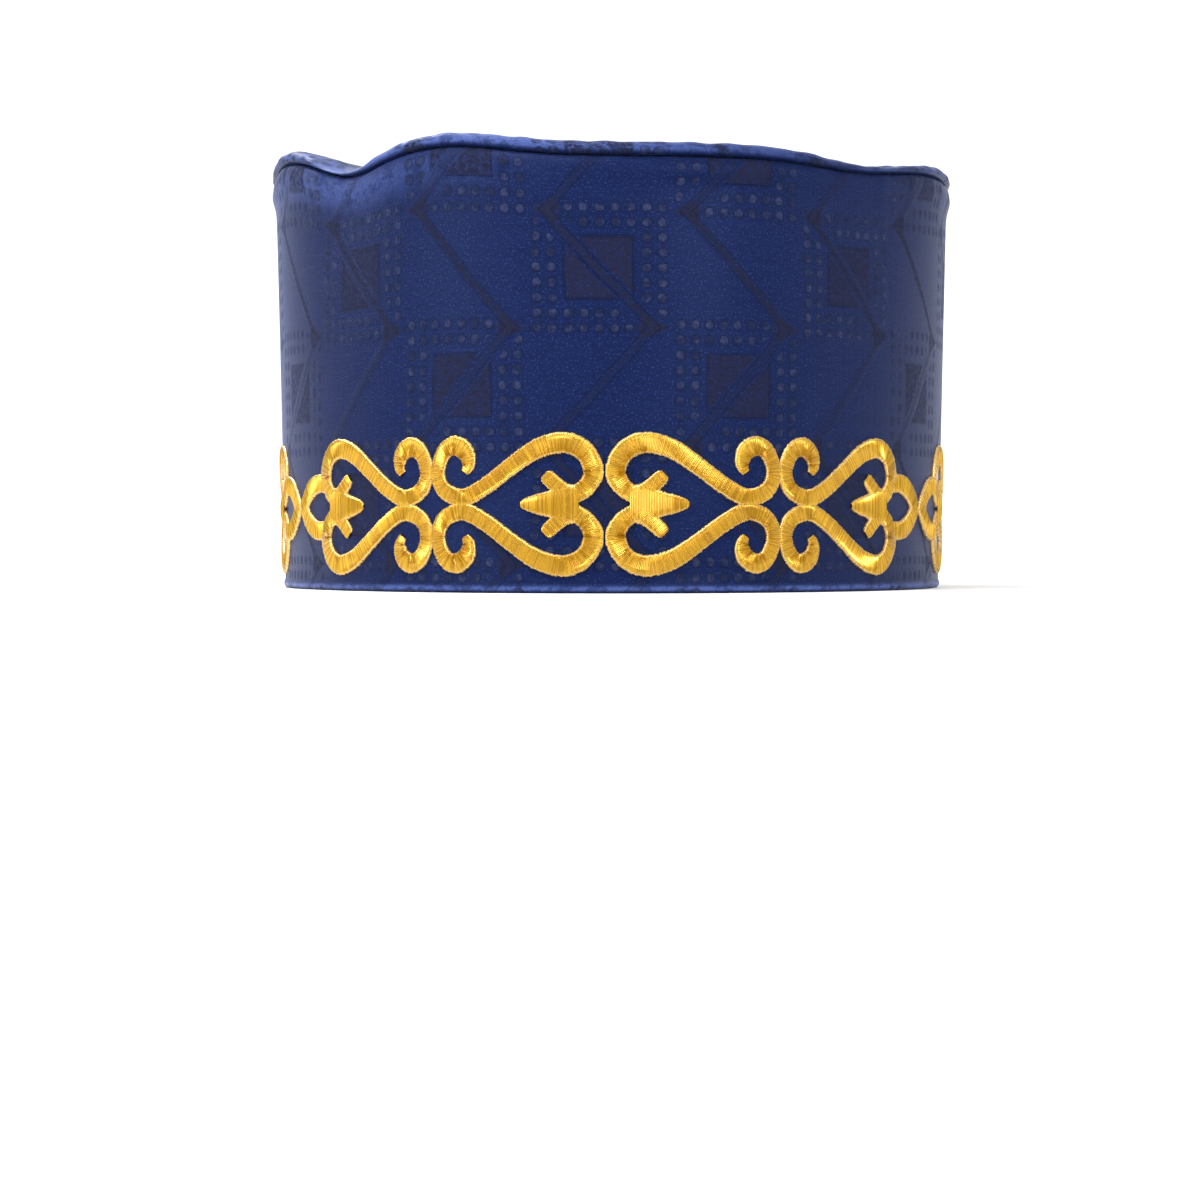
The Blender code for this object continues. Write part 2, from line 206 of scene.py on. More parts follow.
# Colours: red, green, blue and 1.
SATIN_LOW = (0.0008, 0.0037, 0.026, 1)
SATIN_HIGH = (0.0049, 0.0134, 0.073, 1)
SATIN_BROAD = (0.0052, 0.0092, 0.044, 1)
SATIN_DULL = (0.003, 0.006, 0.034, 1)
# Painted glints of the satin's threads.
SATIN_PAINTED_GLINT = (0.028, 0.048, 0.160, 1)
# Painted highlight of the satin's folds.
SATIN_PAINTED_HIGHLIGHT = (0.075, 0.115, 0.340, 1)
MATT_LOW = (0.0040, 0.0045, 0.013, 1)
MATT_HIGH = (0.0170, 0.0160, 0.037, 1)
DOT_LOW = (0.009, 0.012, 0.032, 1)
DOT_HIGH = (0.030, 0.037, 0.088, 1)
LINE_COLOUR = (0.009, 0.009, 0.020, 1)
# Painted shade along the edges of the raised figure.
EDGE_PAINTED_SHADE = (0.001, 0.002, 0.010, 1)
LINING_LOW = (0.0035, 0.004, 0.007, 1)
LINING_HIGH = (0.012, 0.013, 0.020, 1)
GOLD_LOW = (0.40, 0.200, 0.003, 1)
GOLD_HIGH = (0.53, 0.300, 0.009, 1)
# Painted shade between the stitches.
GOLD_PAINTED_SHADE = (0.075, 0.036, 0.001, 1)
# Painted highlight along the edges of the strokes.
GOLD_PAINTED_HIGHLIGHT = (0.86, 0.60, 0.27, 1)
SEWING_LOW = (0.012, 0.016, 0.05, 1)
SEWING_HIGH = (0.04, 0.05, 0.12, 1)
PAPER_LOW = (0.86, 0.86, 0.86, 1)
PAPER_HIGH = (0.90, 0.90, 0.90, 1)

# Studio, in metres and watts: name, place, what it is aimed at, size and power of each box.
FLOOR_SIZE = 6.0
FLOOR_WALL = 3.0
FLOOR_CURVE = 1.0
WORLD_STRENGTH = 0.43
SOFT_BOXES = (
    ("left box", (-0.80, -0.55, 0.38), (0, 0, 0.06), 0.40, 3.6),
    ("right box", (0.95, -0.30, 0.30), (0, 0, 0.06), 0.40, 1.1),
    ("key box", (0.55, -0.95, 0.62), (0, 0, 0.06), 0.18, 6.0),
    ("top box", (-0.30, -0.32, 0.80), (0, -0.03, 0.09), 0.30, 5.0),
    ("roll box", (-0.35, 0.35, 0.65), (0, 0, 0.10), 0.35, 5.0),
    ("ceiling box", (0.0, 0.0, 2.6), (0, 0, 0), 5.0, 50.0),
    ("backdrop box", (0.0, 1.0, 1.8), (0, 3.0, 0.3), 1.2, 28.0),
)
# The photo's lens, whose focal length is 2280 pixels of a picture 1200 wide, at the photo's
# distance and just above the floor.
CAMERA_SENSOR = 36.0
CAMERA_LENS = 2280 / 1200 * CAMERA_SENSOR
CAMERA_PLACE = (-0.003, -0.60, 0.010)
CAMERA_DOWN_DEG = 1.3


def mix(start, end, share):
    return start + (end - start) * share


def smooth_step(start, end, value):
    share = np.clip((value - start) / (end - start), 0.0, 1.0)
    return share * share * (3 - 2 * share)


def bump_of(value, centre, spread):
    """A smooth hump of height 1 over the centre, for an array of values."""
    return np.exp(-(((value - centre) / spread) ** 2))


def bump(angle, centre_deg, spread_deg):
    """A smooth hump of height 1 on the circle of directions, for an array of angles."""
    apart = (np.degrees(angle) - centre_deg + 180) % 360 - 180
    return bump_of(apart, 0.0, spread_deg)


def wave_rise(angle):
    """How much the waves lift the top edge, in metres."""
    return sum(rise * MM * bump(angle, centre, spread) for centre, spread, rise, _ in WAVES)


def wave_outward(angle):
    """How far the waves push the top edge outwards, in metres."""
    return sum(out * MM * bump(angle, centre, spread) for centre, spread, _, out in WAVES)


def roll_share(angle):
    """Share of the roll's height that the tucks leave."""
    return 1.0 - sum(lost * bump(angle, centre, spread) for centre, spread, lost in TUCKS)


def base_height(angle):
    """Height of the seam in metres, without its waves."""
    front_to_back = mix(SEAM_FRONT_HEIGHT, SEAM_BACK_HEIGHT, (1 - np.cos(angle)) / 2)
    return front_to_back + SEAM_SIDE_RISE * np.sin(angle) ** 2


def gathers(angle):
    """Small uneven puckers that the seam's thread draws into the cloth, from -1 to 1."""
    total = 0.45 * np.sin(53 * angle + 1.3 + 1.5 * np.sin(4 * angle))
    total += 0.35 * np.sin(79 * angle + 0.4 + 2.0 * np.sin(5 * angle + 1.0))
    return total + 0.20 * np.sin(31 * angle + 2.2)


def wall_places(angle, level, outward):
    """Points of the wall at levels from 0, the rim, to 1, the seam, as an array of rows."""
    front = np.cos(angle) > 0
    length = mix(np.where(front, RIM_FRONT_LENGTH, RIM_BACK_LENGTH), SEAM_LENGTH, level)
    width = mix(RIM_HALF_WIDTH, SEAM_HALF_WIDTH, level)
    height = base_height(angle)
    drop = (1 - level) * height
    lift = np.clip(level, 0, None) ** 3
    out = outward + wave_outward(angle) * lift
    out = out + RIDGE_OUTWARD * bump_of(drop, RIDGE_DROP, RIDGE_SPREAD)
    across = length * np.sin(angle)
    ahead = -width * np.cos(angle)
    size = np.hypot(across, ahead)
    x = width * np.sin(angle) + out * across / size
    y = WIDEST_LINE_Y - length * np.cos(angle) + out * ahead / size
    z = level * height + wave_rise(angle) * lift
    return np.stack([x, y, z], -1)


def panel_places(angle, share, outward, rise):
    """Points of the flat panel, from its middle at share 0 to the seam at share 1."""
    middle = np.array([0, WIDEST_LINE_Y, (SEAM_FRONT_HEIGHT + SEAM_BACK_HEIGHT) / 2])
    edge = wall_places(angle, np.ones_like(angle), outward)
    places = middle + (edge - middle) * share[:, None]
    places[:, 2] = mix(middle[2], base_height(angle), share) + wave_rise(angle) * share ** 3
    places[:, 2] += rise - CROWN_SAG * (1 - share ** 2)
    return places


def rim_chart():
    """Angles around the rim from the front, and the length of the rim in metres to each."""
    angles = np.linspace(-math.pi, math.pi, 1441)
    places = wall_places(angles, np.zeros_like(angles), 0.0)
    steps = np.linalg.norm(np.diff(places, axis=0), axis=1)
    lengths = np.concatenate([[0.0], np.cumsum(steps)])
    return angles, lengths - lengths[len(lengths) // 2]


RIM_ANGLES, RIM_LENGTHS = rim_chart()
RIM_ROUND = RIM_LENGTHS[-1] - RIM_LENGTHS[0]


# Making pieces

def select_none():
    if bpy.context.object and bpy.context.object.mode != "OBJECT":
        bpy.ops.object.mode_set(mode="OBJECT")
    bpy.ops.object.select_all(action="DESELECT")


def turned(name, profile, steps):
    """Draw a profile of (radius, height) in mm point by point and turn it about the axis."""
    select_none()
    bpy.ops.mesh.primitive_plane_add(size=MM, location=(0, 0, 0))
    piece = bpy.context.object
    piece.name = piece.data.name = name
    bpy.ops.object.mode_set(mode="EDIT")
    bpy.ops.mesh.merge(type="CENTER")
    radius, height = profile[0]
    bpy.ops.transform.translate(value=(0, radius * MM, height * MM))
    for start, end in zip(profile, profile[1:]):
        step = (0, (end[0] - start[0]) * MM, (end[1] - start[1]) * MM)
        bpy.ops.mesh.extrude_vertices_move(TRANSFORM_OT_translate={"value": step})
    bpy.ops.mesh.select_all(action="SELECT")
    bpy.ops.mesh.spin(steps=steps, angle=2 * math.pi, center=(0, 0, 0), axis=(0, 0, 1))
    bpy.ops.mesh.select_all(action="SELECT")
    bpy.ops.mesh.remove_doubles(threshold=0.001 * MM)
    bpy.ops.mesh.normals_make_consistent(inside=False)
    bpy.ops.object.mode_set(mode="OBJECT")
    return piece


def mesh_places(piece):
    places = np.empty(len(piece.data.vertices) * 3)
    piece.data.vertices.foreach_get("co", places)
    return places.reshape(-1, 3)


def move_to(piece, places):
    piece.data.vertices.foreach_set("co", np.asarray(places, float).ravel())
    piece.data.update()


def plain_directions(places):
    """Angle from the front, radius and height in mm of points on the plain round cap."""
    angle = np.arctan2(places[:, 0], -places[:, 1])
    radius = np.hypot(places[:, 0], places[:, 1]) / MM
    return angle, radius, places[:, 2] / MM


def closer_at_back(angle):
    """Crowd the columns towards the back seam, where the cloth's two ends are joined."""
    return angle + BACK_CROWDING * np.sin(angle)


def back_distance(angle):
    """Distance in mm from the back seam, measured around the rim."""
    length = np.interp(np.abs(angle), RIM_ANGLES, RIM_LENGTHS)
    return (RIM_ROUND / 2 - length) / MM


def corner_values(piece, values):
    """Values of the vertices, such as angles, at each corner of each face."""
    corners = np.empty(len(piece.data.loops), int)
    piece.data.loops.foreach_get("vertex_index", corners)
    return values[corners]


def corner_angles(piece, angle):
    """Angles at the corners of faces, where the back seam counts to the side of its face."""
    mesh = piece.data
    at_corners = corner_values(piece, angle)
    on_seam = np.abs(at_corners) > BACK_SEAM_ANGLE
    starts = np.empty(len(mesh.polygons), int)
    mesh.polygons.foreach_get("loop_start", starts)
    counts = np.empty(len(mesh.polygons), int)
    mesh.polygons.foreach_get("loop_total", counts)
    side = np.sign(np.add.reduceat(np.where(on_seam, 0, at_corners), starts))
    side = np.repeat(side, counts)
    return np.where(on_seam, side * math.pi, at_corners)


def chart(piece, across, up):
    """Write the piece's cloth chart, in mm of cloth, as its UV map."""
    layer = piece.data.uv_layers.get("cloth") or piece.data.uv_layers.new(name="cloth")
    layer.data.foreach_set("uv", np.stack([across, up], -1).ravel())


def mark(piece, name, values):
    """Write a value at each vertex, which a material reads by its name."""
    layer = piece.data.attributes.new(name, "FLOAT", "POINT")
    layer.data.foreach_set("value", np.asarray(values, np.float32))


def finish_piece(piece, material, sharp_deg=60):
    """Smooth shading, one material, and the body that the piece rides on."""
    select_none()
    piece.select_set(True)
    bpy.context.view_layer.objects.active = piece
    bpy.ops.object.shade_smooth_by_angle(angle=math.radians(sharp_deg))
    piece.data.materials.clear()
    piece.data.materials.append(material)
    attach(piece, "root")
    select_none()
    return piece


# Cloth pieces

def wall_cloth():
    """The side wall: one layer turned in at the rim, puckered at its seam and joined behind."""
    profile = [(PLAIN_RADIUS + out, height) for out, height in WALL_PROFILE_OUTSIDE]
    profile += [(PLAIN_RADIUS + out, height) for out, height in WALL_PROFILE_INSIDE]
    piece = turned("wall_cloth", profile + profile[:1], CLOTH_COLUMNS)
    angle, radius, height = plain_directions(mesh_places(piece))
    angle = closer_at_back(angle)
    outward = radius - PLAIN_RADIUS
    level = height / PLAIN_HEIGHT
    outside = smooth_step(-1.2, -0.2, outward)
    relief = WALL_PUCKERS * gathers(angle) * bump_of(height, PLAIN_HEIGHT, 7.0) * outside
    back = back_distance(angle)
    relief -= BACK_SEAM_DEPTH * bump_of(back, 0.0, 0.8) * outside
    relief += BACK_LIP_HEIGHT * bump_of(back, 3.0, 1.6) * outside
    move_to(piece, wall_places(angle, level, (outward + relief) * MM))

    corners = corner_angles(piece, angle)
    along = np.interp(corners, RIM_ANGLES, RIM_LENGTHS) / MM
    inside = corner_values(piece, outward) < -WALL_THICKNESS / 2
    tall = corner_values(piece, height)
    chart(piece, along, np.where(inside, -tall - WALL_THICKNESS, tall))

    # Painted highlights: a line along the fold of the rim, and a band below the seam at the front
    # left.
    rim_fold_highlight = bump_of(height, 1.0, 0.55) * smooth_step(0.0, 0.2, outward)
    below_seam_highlight = bump_of(height, 96.0, 4.0) * bump(angle, -52, 26) * outside
    mark(piece, "painted_fold_highlight", np.maximum(RIM_PAINTED_HIGHLIGHT * rim_fold_highlight, BELOW_SEAM_PAINTED_HIGHLIGHT * below_seam_highlight))
    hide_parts("side_wall")
    return finish_piece(piece, satin)


def crown_cloth():
    """The flat top: a slightly sunken panel whose gathered edge rolls over the seam."""
    piece = turned("crown_cloth", CROWN_PROFILE, CLOTH_COLUMNS)
    angle, radius, rise = plain_directions(mesh_places(piece))
    on_roll = smooth_step(ROLL_INSIDE, ROLL_INSIDE + 3.5, radius)
    gathered = gathers(angle + 0.02) * smooth_step(60.0, 83.0, radius)
    outward = np.maximum(radius, ROLL_INSIDE) - PLAIN_RADIUS
    outward = outward + ROLL_PUCKERS_OUT * gathered * on_roll
    share = np.minimum(radius / ROLL_INSIDE, 1.0)
    shown = mix(1.0, roll_share(angle), on_roll)
    low = LAYER_GAP / MM
    upper = smooth_step(0.8, 2.2, rise)
    lifted = low + (rise - low) * shown + ROLL_PUCKERS_UP * gathered * upper
    ripple = np.sin(5 * angle + 0.8) * np.sin(math.pi * np.clip(radius / 80.0, 0, 1)) ** 2
    lifted = lifted + PANEL_RIPPLE * ripple
    move_to(piece, panel_places(angle, share, outward * MM, lifted * MM))

    down_the_roll = np.where(radius > ROLL_MIDDLE, 1.4 * (ROLL_TOP - rise), 0.0)
    path = corner_values(piece, radius + down_the_roll)
    turn = corner_values(piece, angle)
    chart(piece, path * np.sin(turn), -path * np.cos(turn))

    # Painted highlight on the roll, stronger towards its front left.
    roll_highlight_left = ROLL_PAINTED_HIGHLIGHT + ROLL_PAINTED_HIGHLIGHT_LEFT * bump(angle, -28, 42)
    mark(piece, "painted_fold_highlight", roll_highlight_left * on_roll * smooth_step(0.6, 1.6, rise))
    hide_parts("crown_top")
    return finish_piece(piece, satin)


def inner_lining():
    """The dark lining of the wall and the crown, creased below the seam."""
    profile = [(radius, PLAIN_HEIGHT + drop) for radius, drop in LINING_PROFILE]
    piece = turned("inner_lining", profile, LINING_COLUMNS)
    angle, radius, height = plain_directions(mesh_places(piece))
    outward = radius - PLAIN_RADIUS
    on_wall = smooth_step(80.2, 81.8, radius)
    level = np.clip(height / PLAIN_HEIGHT, 0.0, LINING_TOP_LEVEL)
    share = np.minimum(radius / LINING_RADIUS, 1.0)
    inner_face = smooth_step(-2.6, -3.0, outward)
    creases = LINING_CREASES * gathers(angle * 0.98) * bump_of(height, PLAIN_HEIGHT, 16.0)
    upright = wall_places(angle, level, (outward - np.abs(creases) * inner_face) * MM)
    flat = panel_places(angle, share, -3.1 * MM, (height - PLAIN_HEIGHT) * MM)
    move_to(piece, mix(flat, upright, on_wall[:, None]))

    turn = corner_angles(piece, angle)
    along = np.interp(turn, RIM_ANGLES, RIM_LENGTHS) / MM
    far = corner_values(piece, radius)
    tall = corner_values(piece, height)
    flat_part = far < LINING_FLAT_RADIUS
    chart(
        piece,
        np.where(flat_part, far * np.sin(turn), along),
        np.where(flat_part, -far * np.cos(turn) + LINING_FLAT_CHART, tall),
    )
    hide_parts("lining")
    return finish_piece(piece, lining_cloth)


# Embroidery

def smooth_line(rows):
    """Points every tenth of a millimetre along a smooth line through rows of equal columns."""
    rows = [np.array(row, float) for row in rows]
    ends = [2 * rows[0] - rows[1], *rows, 2 * rows[-1] - rows[-2]]
    points = []
    for before, start, end, after in zip(ends, ends[1:], ends[2:], ends[3:]):
        for share in np.arange(0.0, 1.0, 0.02):
            bend = (2 * before - 5 * start + 4 * end - after) * share ** 2
            bend += (3 * start - before - 3 * end + after) * share ** 3
            points.append(start + ((end - before) * share + bend) / 2)
    points.append(rows[-1])
    points = np.array(points)
    steps = np.linalg.norm(np.diff(points[:, :2], axis=0), axis=1)
    lengths = np.concatenate([[0.0], np.cumsum(steps)])
    even = np.arange(0.0, lengths[-1], 0.1)
    return even, np.stack([np.interp(even, lengths, column) for column in points.T], -1)


def one_stitch():
    """One thread across a stroke of width 1, cut across where it bends over its padding."""
    select_none()
    bpy.ops.mesh.primitive_cylinder_add(
        vertices=5, radius=0.5, depth=1.0, end_fill_type="TRIFAN", rotation=(math.pi / 2, 0, 0)
    )
    stitch = bpy.context.object
    stitch.name = stitch.data.name = "stitch"
    bpy.ops.object.transform_apply(location=True, rotation=True, scale=True)
    bpy.ops.object.mode_set(mode="EDIT")
    for cut in (-0.46, -0.36, -0.16, 0.16, 0.36, 0.46):
        bpy.ops.mesh.select_all(action="SELECT")
        bpy.ops.mesh.bisect(plane_co=(0, cut, 0), plane_no=(0, 1, 0))
    bpy.ops.object.mode_set(mode="OBJECT")
    return stitch


def row_of_stitches(stitch, count):
    """The stitch, repeated side by side in one mesh, with each vertex's place in it.

    Gives the row, the stitch that each vertex belongs to, and where it is in that stitch.
    """
    select_none()
    row = stitch.copy()
    row.data = stitch.data.copy()
    bpy.context.scene.collection.objects.link(row)
    row.select_set(True)
    bpy.context.view_layer.objects.active = row
    repeat = row.modifiers.new("side by side", "ARRAY")
    repeat.count = count
    repeat.use_relative_offset = False
    repeat.use_constant_offset = True
    repeat.constant_offset_displace = (STITCH_APART, 0, 0)
    bpy.ops.object.modifier_apply(modifier=repeat.name)
    places = mesh_places(row)
    index = np.round(places[:, 0] / STITCH_APART).astype(int)
    places[:, 0] -= index * STITCH_APART
    return row, index, places


def half_strokes():
    """Centre lines of one half repeat: rows of (along, up, width) in mm, low ones first."""
    strokes = []
    for away in (-1, 1):
        for up in (1, -1):
            strokes.append([(CROSS_AT + away * a, up * h, w) for a, h, w in PALMETTE_LOBE])
        strokes.append([(CROSS_AT + away * a, h, w) for a, h, w in PALMETTE_STEM])
        for up in (1, -1):
            strokes.append([(CROSS_AT + away * a, up * h, w) for a, h, w in HEART_STROKE])
    for up in (1, -1):
        strokes.append([(CROSS_AT + a, up * h, w) for a, h, w in ONION_STROKE])
    return strokes


def laid_stroke(stroke, stretch, centre, side, stitch, chance):
    """A stroke of satin stitch on the wall, each stitch across the stroke's centre line."""
    lengths, line = smooth_line(stroke)
    heading = np.gradient(line[:, :2], axis=0)
    heading /= np.linalg.norm(heading, axis=1)[:, None]
    count = max(2, int(lengths[-1] / STITCH_PITCH))
    row, index, places = row_of_stitches(stitch, count)
    section, reach, top = places.T
    draw = np.array([[chance.uniform(-1, 1) for _ in range(4)] for _ in range(count)])
    shift, swell, slide, shade = draw[index].T

    at = (index + 0.5 + 0.12 * shift) * STITCH_PITCH + section * THREAD_WIDTH
    at = np.clip(at, 0.0, lengths[-1])
    width = np.interp(at, lengths, line[:, 2])
    across = reach * (width * (1 + 0.035 * swell)) + 0.05 * slide
    along = np.interp(at, lengths, line[:, 0]) - np.interp(at, lengths, heading[:, 1]) * across
    up = np.interp(at, lengths, line[:, 1]) + np.interp(at, lengths, heading[:, 0]) * across
    hump = np.sqrt(np.clip(1 - np.abs(2 * reach) ** HUMP_SQUARENESS, 0, 1))
    pad = PAD_HEIGHT * np.clip(width / PAD_FULL_WIDTH, 0.55, 1.12)
    out = THREAD_FOOT + hump * pad * (1 + 0.03 * swell) + top * THREAD_WIDTH - THREAD_SUNK

    length = centre / MM + side * np.maximum(along * stretch, HALF_SPACING / 2)
    length = (length * MM - RIM_LENGTHS[0]) % RIM_ROUND + RIM_LENGTHS[0]
    angle = np.interp(length, RIM_LENGTHS, RIM_ANGLES)
    level = (BAND_MIDLINE + up) * MM / base_height(angle)
    move_to(row, wall_places(angle, level, out * MM))
    mark(row, "stitch_tone", 0.5 + 0.5 * shade)
    mark(row, "stitch_edge", np.abs(2 * reach))
    mark(row, "stitch_top", top + 0.5)
    if side < 0:
        row.data.flip_normals()
    return row


def scroll(number, centre, side, stitch, chance):
    """One half repeat of satin stitch: side is 1 to the right of its centre, -1 to the left."""
    half_length = RIM_ROUND / REPEATS / 2 / MM
    stretch = (half_length - HALF_SPACING / 2) / (CROSS_AT + ONION_TIP)
    rows = [
        laid_stroke(stroke, stretch, centre, side, stitch, chance) for stroke in half_strokes()
    ]
    select_none()
    for row in rows:
        row.select_set(True)
    bpy.context.view_layer.objects.active = rows[0]
    bpy.ops.object.join()
    piece = bpy.context.object
    piece.name = piece.data.name = f"scroll_{number}"
    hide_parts(f"ornament_{number}")
    return finish_piece(piece, gold)


def all_scrolls():
    """The whole band: six half repeats, numbered around the cap from the front."""
    stitch = one_stitch()
    chance = random.Random(7)
    number = 1
    for repeat in range(REPEATS):
        for side in (-1, 1):
            centre = BAND_CENTRE + repeat * RIM_ROUND / REPEATS
            scroll(number, centre, side, stitch, chance)
            number += 1
    bpy.data.objects.remove(stitch, do_unlink=True)


def hem_stitches():
    """Slanted hand stitches that hold the lining's hem to the turned-in rim."""
    stitch = one_stitch()
    stitch.name = stitch.data.name = "hem_stitch"
    row, index, places = row_of_stitches(stitch, HEM_STITCHES)
    bpy.data.objects.remove(stitch, do_unlink=True)
    row.name = row.data.name = "hem_stitches"
    section, reach, top = places.T
    length = (index + 0.5) / HEM_STITCHES * RIM_ROUND + RIM_LENGTHS[0]
    length = length + (section * 0.35 + reach * HEM_STITCH_SLANT) * MM
    angle = np.interp(length, RIM_LENGTHS, RIM_ANGLES)
    height = HEM_MIDDLE + reach * HEM_STITCH_HEIGHT + section * 0.12
    hump = np.sqrt(np.clip(1 - np.abs(2 * reach) ** 2.2, 0, 1))
    inward = mix(1.7, 3.0, np.clip(reach + 0.75, 0, 1)) + 0.25 * hump + top * 0.3
    move_to(row, wall_places(angle, height * MM / base_height(angle), -inward * MM))
    select_none()
    row.select_set(True)
    bpy.context.view_layer.objects.active = row
    bpy.ops.object.mode_set(mode="EDIT")
    bpy.ops.mesh.select_all(action="SELECT")
    bpy.ops.mesh.normals_make_consistent(inside=False)
    bpy.ops.object.mode_set(mode="OBJECT")
    return finish_piece(row, sewing_thread)


# Materials

def put(tree, socket, value):
    """Link an output to the socket, or set the socket to a plain value."""
    if isinstance(value, bpy.types.NodeSocket):
        tree.links.new(value, socket)
    else:
        socket.default_value = value


def add_node(tree, kind, settings=None, inputs=None):
    made = tree.nodes.new(kind)
    for name, value in (settings or {}).items():
        setattr(made, name, value)
    for name, value in (inputs or {}).items():
        put(tree, made.inputs[name], value)
    return made


def calc(tree, operation, *values):
    made = add_node(tree, "ShaderNodeMath", {"operation": operation}, dict(enumerate(values)))
    return made.outputs[0]


def plus(tree, first, second):
    return calc(tree, "ADD", first, second)


def minus(tree, first, second):
    return calc(tree, "SUBTRACT", first, second)


def times(tree, first, second):
    return calc(tree, "MULTIPLY", first, second)


def larger(tree, first, second):
    return calc(tree, "MAXIMUM", first, second)


def size_of(tree, value):
    return calc(tree, "ABSOLUTE", value)


def outside_of(tree, mask):
    """The mask turned round: 1 where it is 0, and 0 where it is 1."""
    return calc(tree, "SUBTRACT", 1.0, mask)


def from_to(tree, start, reach, mask):
    """The start where the mask is 0, and more by the reach where it is 1."""
    return plus(tree, start, times(tree, mask, reach))


def noise(tree, place, scale, detail, roughness=0.5):
    inputs = {"Vector": place, "Scale": scale, "Detail": detail, "Roughness": roughness}
    return add_node(tree, "ShaderNodeTexNoise", None, inputs).outputs[0]


def vertex_value(tree, name):
    return add_node(tree, "ShaderNodeAttribute", {"attribute_name": name}).outputs["Fac"]


def wrapped(tree, value, period):
    """The value, moved by whole periods to lie between half a period below and above 0."""
    return calc(tree, "WRAP", value, period / 2, -period / 2)


def below(tree, value, edge, soft):
    """1 where the value is well below the edge and 0 where it is well above."""
    ends = {"From Min": edge - soft, "From Max": edge + soft, "To Min": 1.0, "To Max": 0.0}
    smooth = {"interpolation_type": "SMOOTHSTEP"}
    return add_node(tree, "ShaderNodeMapRange", smooth, {"Value": value, **ends}).outputs[0]


def near_to(tree, value, middle, reach, soft=0.15):
    """1 where the value is within reach of the middle, and 0 elsewhere."""
    return below(tree, size_of(tree, minus(tree, value, middle)), reach, soft)


def blend(tree, factor, first, second):
    """The first colour where the factor is 0, and the second where it is 1."""
    made = add_node(tree, "ShaderNodeMix", {"data_type": "RGBA"})
    put(tree, made.inputs[0], factor)
    put(tree, made.inputs[6], first)
    put(tree, made.inputs[7], second)
    return made.outputs[2]


def new_group(name, inputs, outputs):
    """A shader node group with inputs of (name, kind, value) and outputs of (name, kind)."""
    tree = bpy.data.node_groups.new(name, "ShaderNodeTree")
    for label, kind, value in inputs:
        socket = tree.interface.new_socket(name=label, in_out="INPUT", socket_type=kind)
        if value is not None:
            socket.default_value = value
    for label, kind in outputs:
        tree.interface.new_socket(name=label, in_out="OUTPUT", socket_type=kind)
    return tree, tree.nodes.new("NodeGroupInput"), tree.nodes.new("NodeGroupOutput")


def square_with_dots(tree, far_across, far_up, from_line):
    """One square of two triangles and its ring of dots, around the place where both are 0, and a
    mask of painted shade along their edges.
    """
    away_across = size_of(tree, far_across)
    away_up = size_of(tree, far_up)
    reach = larger(tree, times(tree, away_across, SQUARE_STRETCH), away_up)
    off_line = outside_of(tree, below(tree, from_line, 1.7, 0.2))
    square = times(tree, below(tree, reach, SQUARE_HALF, 0.2), off_line)

    near_across = wrapped(tree, far_across, DOT_PITCH)
    near_up = wrapped(tree, far_up, DOT_PITCH)
    squares = plus(tree, times(tree, near_across, near_across), times(tree, near_up, near_up))
    apart = calc(tree, "SQRT", squares)
    ring = near_to(tree, larger(tree, away_across, away_up), RING_MIDDLE, RING_HALF, 0.1)
    dot_place = times(tree, ring, outside_of(tree, below(tree, from_line, 2.6, 0.2)))
    dot = times(tree, below(tree, apart, DOT_RADIUS, 0.25), dot_place)

    dot_dome = times(tree, below(tree, apart, 1.0, 0.6), dot_place)
    raised = larger(tree, square, dot_dome)
    # Painted shade around the dots and along the squares' edges, in place of the shade at their
    # raised rims.
    dot_edge_shade = times(tree, near_to(tree, apart, 1.15, 0.22), dot_place)
    square_edge_shade = times(tree, near_to(tree, reach, 7.2, 0.3), off_line)
    return square, dot, raised, larger(tree, dot_edge_shade, square_edge_shade)


